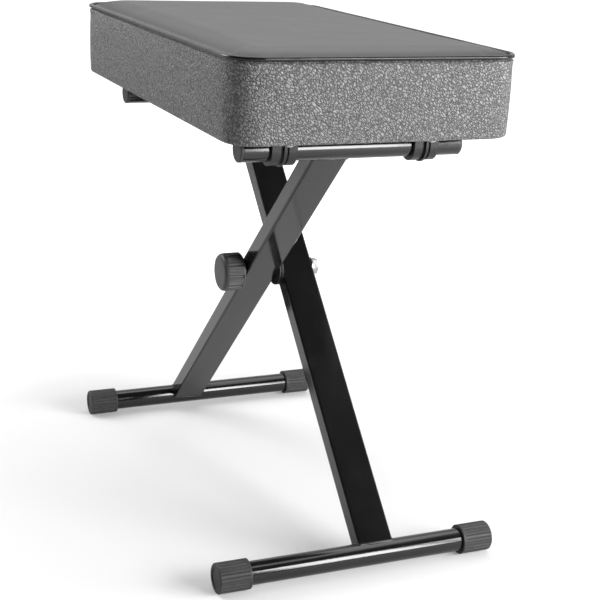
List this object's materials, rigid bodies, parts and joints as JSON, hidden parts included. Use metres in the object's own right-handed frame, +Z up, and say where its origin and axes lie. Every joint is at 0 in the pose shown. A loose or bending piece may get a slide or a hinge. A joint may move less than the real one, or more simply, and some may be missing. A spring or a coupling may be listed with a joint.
{
  "type": "folding keyboard bench",
  "caption": "Folding keyboard bench: padded oblong seat with a piped edge on crossed rectangular legs, clamp knob at the crossing and round foot tubes.",
  "frame": {"origin": "on the floor, under the middle of the bench's box", "axes": "+X along the seat, towards the end with the saddles; +Y across the bench, away from the clamp knob; +Z up"},
  "size_m": [0.562, 0.316, 0.5475],
  "materials": {
    "leatherette": "pebbled satin",
    "plywood": "sanded",
    "dust_cloth": "matt",
    "saddle_plastic": "moulded satin",
    "zinc_steel": "zinc plated",
    "black_steel": "semi-gloss powder coat",
    "cap_rubber": "matt",
    "plug_plastic": "satin",
    "knob_plastic": "satin",
    "insert_brass": "turned",
    "sleeve_steel": "bare",
    "clutch_steel": "sintered"
  },
  "bodies": {
    "seat": {"seat_board": "plywood", "seat_cushion": "leatherette", "seat_welt": "leatherette", "dust_cover": "dust_cloth", "tube_saddle_left": "saddle_plastic", "tube_saddle_right": "saddle_plastic", "saddle_screws": "zinc_steel", "tube_keeper_left": "black_steel", "tube_keeper_right": "black_steel", "keeper_screws": "zinc_steel"},
    "front_leg": {"front_leg_tube": "black_steel", "front_leg_foot_tube": "black_steel", "front_leg_top_tube": "black_steel", "front_leg_foot_cap_left": "cap_rubber", "front_leg_foot_cap_right": "cap_rubber", "front_leg_top_plug_left": "plug_plastic", "front_leg_top_plug_right": "plug_plastic", "front_leg_pivot_sleeve": "sleeve_steel", "front_leg_clutch_disc": "clutch_steel", "release_spring": "zinc_steel"},
    "rear_leg": {"rear_leg_tube": "black_steel", "rear_leg_foot_tube": "black_steel", "rear_leg_top_tube": "black_steel", "rear_leg_foot_cap_left": "cap_rubber", "rear_leg_foot_cap_right": "cap_rubber", "rear_leg_top_plug_left": "plug_plastic", "rear_leg_top_plug_right": "plug_plastic", "rear_leg_pivot_sleeve": "sleeve_steel", "rear_leg_clutch_disc": "clutch_steel", "pivot_bolt": "zinc_steel", "bolt_washer": "zinc_steel"},
    "thrust_washer": {"thrust_washer": "zinc_steel"},
    "clamp_knob": {"clamp_knob": "knob_plastic", "knob_insert": "insert_brass"}
  },
  "joints": [
    {"name": "seat_tilt", "type": "hinge", "parent": "seat", "child": "front_leg", "pos_m": [0.196, 0, 0.443], "axis": [0, 1, 0], "range_deg": [0, 41.5]},
    {"name": "leg_fold", "type": "hinge", "parent": "front_leg", "child": "rear_leg", "pos_m": [0.011, 0, 0.26306], "axis": [0, -1, 0], "range_deg": [0, 82]},
    {"name": "knob_travel", "type": "slide", "parent": "rear_leg", "child": "thrust_washer", "axis": [0, -1, 0], "range_m": [0, 0.0045]},
    {"name": "knob_turn", "type": "hinge", "parent": "thrust_washer", "child": "clamp_knob", "pos_m": [0.011, -0.06, 0.26306], "axis": [0, -1, 0], "range_deg": [0, 1082]}
  ],
  "couplings": [
    {"joint": "seat_tilt", "follows": "leg_fold", "ratio": 0.5},
    {"joint": "knob_turn", "follows": "knob_travel", "rad_per_m": 4188.8}
  ]
}
